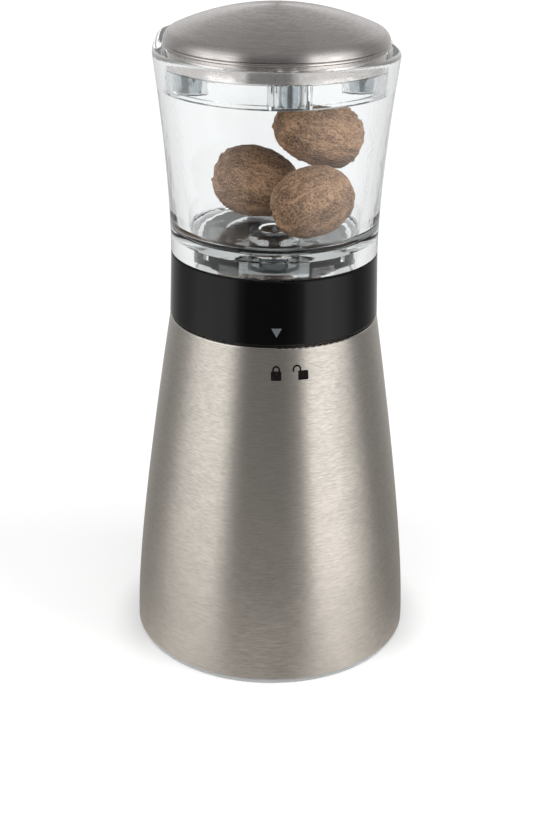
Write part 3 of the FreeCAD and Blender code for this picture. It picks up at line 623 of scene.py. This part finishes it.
def wrap(bm, node, azimuth, level, depth):
    """Bends a mark with a back at y 0 and a front at y 1 round a node, half sunk into it."""
    reach = surface_radius(node, azimuth, level)
    for vertex in bm.verts:
        angle = azimuth + vertex.co.x / reach
        height = level + vertex.co.z
        radius = surface_radius(node, angle, height) + (vertex.co.y - 0.5) * 2 * depth
        vertex.co = (radius * math.sin(angle), -radius * math.cos(angle), height)


def only(kind, items):
    return [item for item in items if isinstance(item, kind)]


def mark(bm, node, azimuth, level, depth):
    """Turns a flat shape in the XZ plane into a thin mark on a node."""
    bmesh.ops.remove_doubles(bm, verts=bm.verts, dist=1e-7)
    made = bmesh.ops.extrude_face_region(bm, geom=list(bm.faces))["geom"]
    bmesh.ops.translate(bm, verts=only(bmesh.types.BMVert, made), vec=(0.0, 1.0, 0.0))
    wrap(bm, node, azimuth, level, depth)
    bmesh.ops.recalc_face_normals(bm, faces=bm.faces)


def plate(bm, width, height, columns, rows):
    """Flat upright rectangle that stands on z 0."""
    made = bmesh.ops.create_grid(bm, x_segments=columns, y_segments=rows, size=0.5)["verts"]
    bmesh.ops.scale(bm, verts=made, vec=(width, height, 1.0))
    bmesh.ops.rotate(bm, verts=made, matrix=Matrix.Rotation(math.pi / 2, 3, "X"))
    bmesh.ops.translate(bm, verts=made, vec=(0.0, 0.0, 0.5 * height))
    return made


def arch(bm, outer, width, legs):
    """Bow of a shackle with two straight legs of the given lengths, left and right."""
    edge = [bm.verts.new((outer - width * step, 0.0, 0.0)) for step in (0, 1)]
    first = bm.edges.new(edge)
    bow = bmesh.ops.spin(bm, geom=[*edge, first], cent=(0, 0, 0), axis=(0, -1, 0),
                         angle=math.pi, steps=BOW_STEPS, use_merge=False)
    last = only(bmesh.types.BMEdge, bow["geom_last"])
    for edges, leg in (([first], legs[1]), (last, legs[0])):
        for _ in range(LEG_STEPS):
            grown = bmesh.ops.extrude_edge_only(bm, edges=edges)["geom"]
            verts = only(bmesh.types.BMVert, grown)
            bmesh.ops.translate(bm, verts=verts, vec=(0.0, 0.0, -leg / LEG_STEPS))
            edges = [item for item in only(bmesh.types.BMEdge, grown)
                     if all(end in verts for end in item.verts)]


# ---------------------------------------------------------------------------------------
# Pieces


class GRATER_OT_base(bpy.types.Operator):
    """Finish the sleeve, the foot and everything that is fixed inside them"""

    bl_idname = "grater.base"
    bl_label = "Base"

    def execute(self, context):
        look = context.scene.grater_finishes
        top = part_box("steel_sleeve")[1].z
        edge = context.scene.grater_sizes.sleeve_edge
        dress(ring_brushed_steel("Brushed sleeve", look.steel, look.steel_roughness,
                                 look.steel_grain, around=8.0, across=4500.0,
                                 bead=(top - edge, top)), "steel_sleeve")
        dress(milky_plastic("Milky foot", look.foot), "foot_ring")
        dress(black_mouldings(look), "base_frame", "neck_ring")
        dress(moulded_plastic("Grey chamber", look.moulded_grey, roughness=0.45), "chamber_tube")
        dress(cutting_steel(look), "grater_disc", "grater_blades", "blade_rivets")
        dress(bright_screws(look), "frame_screws", "neck_screws")
        return {"FINISHED"}


class GRATER_OT_collar(bpy.types.Operator):
    """Finish the locking collar and the carrier, and print the pointer"""

    bl_idname = "grater.collar"
    bl_label = "Collar and carrier"

    def execute(self, context):
        look = context.scene.grater_finishes
        size = context.scene.grater_sizes
        dress(gloss_black("Gloss collar", look), "locking_collar")
        dress(black_mouldings(look), "grip_ring", "carrier")
        dress(worked_metal("Turned brass", look.brass, roughness=0.28), "carrier_bush")
        dress(cutting_steel(look), "thrust_washer")
        bm = bmesh.new()
        for vertex in plate(bm, size.pointer_width, size.pointer_height, columns=8, rows=6):
            vertex.co.x *= max(vertex.co.z / size.pointer_height, 0.0)
        mark(bm, "locking_collar", size.closed_azimuth, size.pointer_level, size.print_depth)
        ink = printed_ink("Pointer ink", look.pointer, roughness=0.35, specular=0.5)
        finished_piece("collar_pointer", bm, ink, "collar")
        return {"FINISHED"}


LOCK_CORNER = 0.1  # rounding of a padlock's body, in its widths
OPEN_LEGS = (1.4, 1.1)  # legs of the open shackle, in those of the closed one


def padlock(name, azimuth, shift, radius, legs, material, size):
    """One padlock mark on the sleeve, its shackle shifted aside."""
    body = bmesh.new()
    plate(body, size.lock_width, size.lock_height, columns=6, rows=5)
    corners = [vertex for vertex in body.verts if len(vertex.link_edges) == 2]
    bmesh.ops.bevel(body, geom=corners, offset=LOCK_CORNER * size.lock_width,
                    affect="VERTICES", segments=3, profile=0.5, material=-1)
    bow = bmesh.new()
    arch(bow, radius, size.shackle_width, legs)
    bmesh.ops.translate(bow, verts=bow.verts,
                        vec=(shift, 0.0, size.lock_height + size.shackle_leg))
    whole = bmesh.new()
    for part in (body, bow):
        mark(part, "steel_sleeve", azimuth, size.mark_level, size.print_depth)
        mesh = mesh_of(name, part)
        whole.from_mesh(mesh)
        bpy.data.meshes.remove(mesh)
    finished_piece(name, whole, material, "base")


class GRATER_OT_padlocks(bpy.types.Operator):
    """Etch the closed and the open padlock into the sleeve's neck"""

    bl_idname = "grater.padlocks"
    bl_label = "Padlock marks"

    def execute(self, context):
        size = context.scene.grater_sizes
        ink = printed_ink("Etched padlock", context.scene.grater_finishes.padlock,
                          roughness=0.5, specular=0.12)
        leg = size.shackle_leg
        padlock("padlock_closed", size.closed_azimuth, 0.0, size.shackle_radius, (leg, leg),
                ink, size)
        padlock("padlock_open", size.open_azimuth, size.open_shift, size.open_radius,
                [ratio * leg for ratio in OPEN_LEGS], ink, size)
        return {"FINISHED"}


class GRATER_OT_hopper(bpy.types.Operator):
    """Finish the clear hopper, its magnets and the drive under its floor"""

    bl_idname = "grater.hopper"
    bl_label = "Hopper and drive"

    def execute(self, context):
        look = context.scene.grater_finishes
        face = (look.adaptor_grey, context.scene.grater_sizes.plate_radius)
        dress(clear_acrylic("Clear acrylic", look.clear, look.clear_ior), "hopper", "magnet_ring")
        dress(worked_metal("Nickel plating", look.nickel, roughness=0.10, scratch=500.0),
              "lid_magnets")
        dress(gloss_black("Drive adaptor", look, face), "drive_adaptor")
        dress(bright_screws(look), "hub_screw", "hub_washer", "retaining_clip")
        dress(cutting_steel(look), "drive_tube", "tube_end_cap")
        return {"FINISHED"}


# Length and thickness in millimetres, turn and tilt in degrees, as the frame has them, and
# the tone of each stored nut
NUTS = {
    "nutmeg_left": (22.6, 18.4, -10, -8, 0.92),
    "nutmeg_front": (20.0, 17.0, 0, 28, 0.92),
    "nutmeg_top": (23.4, 17.0, 190, 18, 1.04),
}
NUT_TAPER = 0.08
NUT_BULGE = 0.75  # share of its pulls that a cubic curve's middle reaches

# How far apart the nuts' reliefs are read, so that no two are alike
SEED_STEP = 7.3
SEED_SHIFT = (1.0, 0.37, 1.9)

# Waves in a metre of a nut's hollows, facets, furrows and small grooves, and of the furrows'
# wandering; a furrow runs stretched along the nut
HOLLOW_PITCH = 130.0
FACET_PITCH = 330.0
FURROW_PITCH = 700.0
GROOVE_PITCH = 1600.0
WANDER_PITCH = 500.0
WANDER = 0.6
STRETCH = 0.35


def egg_point(direction, half, pull):
    """Where the egg's surface lies on a direction from its middle, its axis being Z."""
    t = math.acos(max(-1.0, min(1.0, -direction.z))) / math.pi
    radius = 3 * t * (1 - t) * ((1 - t) * pull * (1 + NUT_TAPER) + t * pull * (1 - NUT_TAPER))
    side = Vector((direction.x, direction.y, 0.0))
    if side.length > 0:
        side.normalize()
    return side * radius + Vector((0, 0, half * (2 * t - 1) * (1 + 2 * t * (1 - t))))


def nut_relief(place, lumps, furrows, seed):
    """Depth of the hollows at a place on a nut whose long axis is Z, in metres."""
    shift = Vector([part * seed for part in SEED_SHIFT])
    broad = noise.noise(place * HOLLOW_PITCH + shift)
    facet = noise.noise(place * FACET_PITCH + shift)
    stretched = Vector((place.x, place.y, STRETCH * place.z))
    wander = Vector((0.0, 0.0, WANDER * noise.noise(place * WANDER_PITCH)))
    furrow = abs(noise.noise(stretched * FURROW_PITCH + shift + wander))
    small = abs(noise.noise(stretched * GROOVE_PITCH - shift))
    hollow = lumps * (0.5 + 0.4 * broad + 0.3 * facet)
    groove = furrows * (max(0.0, 1.0 - 4.0 * furrow) + 0.4 * max(0.0, 1.0 - 3.5 * small))
    return max(0.0, hollow) + groove


def carved_nut(box, long, thick, stand, seed, size):
    """A furrowed nut, turned as it stands and filling a plain one's box, and its centre."""
    bm = bmesh.new()
    bmesh.ops.create_icosphere(bm, subdivisions=size.nut_detail, radius=1.0)
    for vertex in bm.verts:
        vertex.co = egg_point(vertex.co.normalized(), 0.5 * long * MM,
                              thick * MM / (2 * NUT_BULGE))
    bm.normal_update()
    spots = [stand @ vertex.co for vertex in bm.verts]
    middle = Vector([0.5 * (min(p[axis] for p in spots) + max(p[axis] for p in spots))
                     for axis in range(3)])
    depths = [nut_relief(vertex.co, size.nut_lumps, size.nut_furrows, seed)
              for vertex in bm.verts]
    for vertex, depth in zip(bm.verts, depths):
        vertex.co -= vertex.normal * depth
    centre = 0.5 * (box[0] + box[1]) - middle
    bmesh.ops.transform(bm, verts=bm.verts, matrix=Matrix.Translation(centre) @ stand)
    return bm, centre


class GRATER_OT_nutmegs(bpy.types.Operator):
    """Replace the plain stored nuts by furrowed ones in the same places"""

    bl_idname = "grater.nutmegs"
    bl_label = "Stored nutmegs"

    def execute(self, context):
        look = context.scene.grater_finishes
        for count, (node, values) in enumerate(NUTS.items(), start=1):
            long, thick, turn, tilt, tone = values
            stand = (Matrix.Rotation(math.radians(turn), 4, "Z")
                     @ Matrix.Rotation(math.radians(90 - tilt), 4, "Y"))
            bm, centre = carved_nut(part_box(node), long, thick, stand, SEED_STEP * count,
                                    context.scene.grater_sizes)
            tones = [shade(base, tone)
                     for base in (look.nut_light, look.nut_dark, look.nut_furrow)]
            skin = nutmeg_skin(f"Skin of {node}", *tones, centre, stand @ Vector((0, 0, 1)))
            piece = finished_piece(f"{node}_skin", bm, skin, "head", smooth=True)
            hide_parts(node)
        return {"FINISHED"}


SPRING_COILS = 7
COIL_STEPS = 24
WIRE_SIDES = 10


def coil(outer, low, high, wire):
    """Round wire wound round the Z axis between two heights."""
    steps = COIL_STEPS * SPRING_COILS
    bm = bmesh.new()
    ring = bmesh.ops.create_circle(bm, segments=WIRE_SIDES, radius=0.5 * wire)["verts"]
    bmesh.ops.rotate(bm, verts=ring, matrix=Matrix.Rotation(math.pi / 2, 3, "X"))
    bmesh.ops.translate(bm, verts=ring, vec=(outer - 0.5 * wire, 0.0, low + 0.5 * wire))
    bmesh.ops.spin(bm, geom=[*bm.verts, *bm.edges], cent=(0, 0, 0), axis=(0, 0, 1),
                   dvec=(0, 0, (high - low - wire) / steps), angle=2 * math.pi * SPRING_COILS,
                   steps=steps, use_merge=False)
    bmesh.ops.holes_fill(bm, edges=bm.edges, sides=WIRE_SIDES)
    bmesh.ops.recalc_face_normals(bm, faces=bm.faces)
    return bm


class GRATER_OT_plunger(bpy.types.Operator):
    """Finish the plunger and its claws, and wind a spring in place of the plain one"""

    bl_idname = "grater.plunger"
    bl_label = "Plunger"

    def execute(self, context):
        look = context.scene.grater_finishes
        dress(cutting_steel(look), "plunger_rod", "claws")
        dress(bright_screws(look), "claw_screw")
        dress(black_mouldings(look), "claw_plate")
        low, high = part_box("plunger_spring")
        wound = coil(high.x, low.z, high.z, context.scene.grater_sizes.spring_wire)
        wire = worked_metal("Spring wire", look.cut_steel, roughness=0.22, wear_width=0.1 * MM,
                            scratch=1500.0)
        spring = finished_piece("coil_spring", wound, wire, "head", smooth=True)
        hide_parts("plunger_spring")
        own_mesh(spring)
        return {"FINISHED"}


class GRATER_OT_lid(bpy.types.Operator):
    """Finish the domed lid and its closing plate"""

    bl_idname = "grater.lid"
    bl_label = "Lid"

    def execute(self, context):
        look = context.scene.grater_finishes
        size = context.scene.grater_sizes
        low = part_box("lid_dome")[0].z + size.bead_level
        dress(ring_brushed_steel("Brushed lid", look.lid_steel, look.lid_roughness,
                                 look.steel_grain, around=3.0, across=2200.0,
                                 bead=(low, low + size.bead_height)), "lid_dome")
        dress(worked_metal("Lid plate", look.steel, roughness=0.25), "lid_plate")
        return {"FINISHED"}


# ---------------------------------------------------------------------------------------
# Studio

WHITE = (1.0, 1.0, 1.0, 1.0)
PAPER = (0.52, 0.52, 0.52, 1.0)

# The floor's plain glow under the object, and how much it gains in a metre
FILL = 0.48
FILL_RISE = 0.38

# The painted shadow round the foot, taken off the floor's glow: its depth, the distances from the
# axis between which it ends, and the Y of the directions between which it fades towards the front
PAINTED_SHADOW_DEPTH = 0.25
PAINTED_SHADOW_REACH = (0.031, 0.044)
PAINTED_SHADOW_FRONT = (-0.85, -0.25)

# What gloss sees of the floor: its level under the object, and near by in front and at the
# side; the Y of the directions between front and side; the distances over which it turns into
# the walls; and its colour near by, with the distances over which that turns plain
UNDER = 0.2
NEAR_FRONT = 0.62
NEAR_SIDE = 0.32
NEAR_TURN = (-0.95, 0.0)
NEAR_REACH = (0.05, 0.2)
WARM = (1.0, 0.96, 0.92, 1.0)
WARM_REACH = (0.1, 0.35)

# Dark walls, from and to, and how pale a light that ran inside acrylic shows them
PALER = (0.05, 0.35, 0.12, 1.0)

# Name, place, width and watts of each lamp, and the point that they all face
LAMPS = (("Left soft box", (-0.55, -0.35, 0.45), 0.4, 2.0),
         ("Right soft box", (0.55, -0.25, 0.5), 0.4, 3.0),
         ("Top soft box", (0.0, -0.4, 0.8), 0.6, 2.4))
LAMP_AIM = Vector((0.0, 0.0, 0.09))


def ray_kinds(w):
    """Flags for rays that show plain white, that mirror, and that ran inside acrylic."""
    path = w.node("LightPath").outputs
    reflected = w.math("GREATER_THAN", path["Glossy Depth"], 0.5)
    direct = w.math("LESS_THAN", w.plus(path["Glossy Depth"], path["Diffuse Depth"]), 0.5)
    through = path["Is Transmission Ray"]
    seen = w.math("MAXIMUM", path["Is Camera Ray"], w.times(through, direct))
    sparkle = w.times(through, reflected)
    mirrored = w.math("MAXIMUM", path["Is Glossy Ray"], sparkle)
    return seen, w.times(mirrored, w.math("SUBTRACT", 1.0, seen)), sparkle


def mirrored_walls(w, place, sparkle):
    """The walls as gloss shows them, paler where the light has run inside a clear wall."""
    walls = w.group(studio_walls(), {"Vector": place})["Brightness"]
    return w.blend(sparkle, walls, w.between(walls, *PALER))


def paper_sweep(size):
    """Floor: white to the camera under a soft cast shadow and a painted shadow round the foot,
    studio walls to gloss.
    """
    bm = bmesh.new()
    bmesh.ops.create_grid(bm, x_segments=4, y_segments=4, size=0.5 * size)
    floor = placed("floor", mesh_of("floor", bm))
    material, w, shader, place = new_material("Paper sweep")
    seen, mirrored, sparkle = ray_kinds(w)
    w.fill(shader, {"Base Color": PAPER, "Roughness": 0.9, "Specular IOR Level": 0.0})
    reach = w.vector("LENGTH", place)
    way = w.parts(w.vector("NORMALIZE", place))
    # Painted shadow: the glow that the camera sees is lowered round the foot, fading towards the
    # front
    painted_shadow = w.times(w.between(reach, *PAINTED_SHADOW_REACH, PAINTED_SHADOW_DEPTH, 0.0),
                      w.between(way["Y"], *PAINTED_SHADOW_FRONT))
    fill = w.math("SUBTRACT", w.plus(FILL, w.times(reach, FILL_RISE)), painted_shadow)
    glow = w.node("Emission", {"Strength": w.times(seen, fill)})
    paper = w.node("AddShader", {0: shader.outputs["BSDF"], 1: glow.outputs["Emission"]})
    near = w.between(way["Y"], *NEAR_TURN, NEAR_FRONT, NEAR_SIDE)
    level = w.blend(w.between(reach, *NEAR_REACH, UNDER, 1.0), near,
                    mirrored_walls(w, place, sparkle))
    plain = w.math("MAXIMUM", w.between(reach, *WARM_REACH), sparkle)
    gloss = w.node("Emission", {"Color": w.mix(plain, WARM, WHITE), "Strength": level})
    both = w.node("MixShader", {0: mirrored, 1: paper.outputs["Shader"],
                                2: gloss.outputs["Emission"]})
    w.fill(material.node_tree.nodes["Material Output"], {"Surface": both.outputs["Shader"]})
    floor.data.materials.append(material)


def surroundings(ambient):
    """World: white behind the object, studio walls to gloss, plain light to the rest."""
    world = bpy.data.worlds.new("Studio")
    world.use_nodes = True
    bpy.context.scene.world = world
    w = Wires(world.node_tree)
    seen, mirrored, sparkle = ray_kinds(w)
    walls = mirrored_walls(w, w.node("TexCoord").outputs["Generated"], sparkle)
    lit = w.blend(mirrored, ambient, walls)
    w.fill(world.node_tree.nodes["Background"],
           {"Color": WHITE, "Strength": w.blend(seen, lit, 1.0)})


def soft_box(name, place, width, watts):
    """Square lamp that faces the middle of the object and shows in no gloss."""
    lamp = bpy.data.lights.new(name, "AREA")
    lamp.shape = "SQUARE"
    lamp.size = width
    lamp.energy = watts
    holder = placed(name, lamp)
    turn = (LAMP_AIM - Vector(place)).to_track_quat("-Z", "Y").to_matrix().to_4x4()
    holder.matrix_world = Matrix.Translation(place) @ turn
    holder.visible_glossy = False


def place_camera(studio):
    """Camera in front of the object, turned, tipped down and leaning."""
    camera = bpy.data.cameras.new("Camera")
    camera.lens = studio.lens
    camera.sensor_width = 36.0
    camera.clip_start = 0.01
    holder = placed("Camera", camera)
    holder.matrix_world = (Matrix.Translation((0.0, -studio.distance, studio.height))
                           @ Matrix.Rotation(studio.turn, 4, "Z")
                           @ Matrix.Rotation(math.pi / 2 - studio.pitch, 4, "X")
                           @ Matrix.Rotation(studio.roll, 4, "Z"))
    bpy.context.scene.camera = holder


class GRATER_OT_studio(bpy.types.Operator):
    """Set up the floor, the surroundings, the lamps and the camera"""

    bl_idname = "grater.studio"
    bl_label = "Studio"

    def execute(self, context):
        studio = context.scene.grater_studio
        context.scene.view_settings.view_transform = "Standard"
        paper_sweep(studio.floor_size)
        surroundings(studio.ambient)
        for lamp in LAMPS:
            soft_box(*lamp)
        place_camera(studio)
        return {"FINISHED"}


class GRATER_PT_pieces(bpy.types.Panel):
    """Lists the grater's pieces and their values"""

    bl_label = "Nutmeg grater"
    bl_idname = "GRATER_PT_pieces"
    bl_space_type = "VIEW_3D"
    bl_region_type = "UI"
    bl_category = "Grater"

    def draw(self, context):
        for piece in PIECES:
            self.layout.operator(piece.bl_idname, text=piece.bl_label)
        for values in VALUES:
            box = self.layout.box()
            group = getattr(context.scene, values)
            for name in group.__annotations__:
                box.prop(group, name)


VALUES = {"grater_finishes": GRATER_PG_finishes, "grater_sizes": GRATER_PG_sizes,
          "grater_studio": GRATER_PG_studio}
PIECES = (GRATER_OT_base, GRATER_OT_collar, GRATER_OT_padlocks, GRATER_OT_hopper,
          GRATER_OT_nutmegs, GRATER_OT_plunger, GRATER_OT_lid, GRATER_OT_studio)
CLASSES = (*VALUES.values(), *PIECES, GRATER_PT_pieces)


def register():
    for kind in CLASSES:
        bpy.utils.register_class(kind)
    for name, kind in VALUES.items():
        setattr(bpy.types.Scene, name, PointerProperty(type=kind))


def unregister():
    for name in VALUES:
        delattr(bpy.types.Scene, name)
    for kind in reversed(CLASSES):
        bpy.utils.unregister_class(kind)


def main():
    register()
    bpy.ops.grater.base()
    bpy.ops.grater.collar()
    bpy.ops.grater.padlocks()
    bpy.ops.grater.hopper()
    bpy.ops.grater.nutmegs()
    bpy.ops.grater.plunger()
    bpy.ops.grater.lid()
    bpy.ops.grater.studio()
    bpy.context.view_layer.update()


if __name__ == "__main__":
    main()
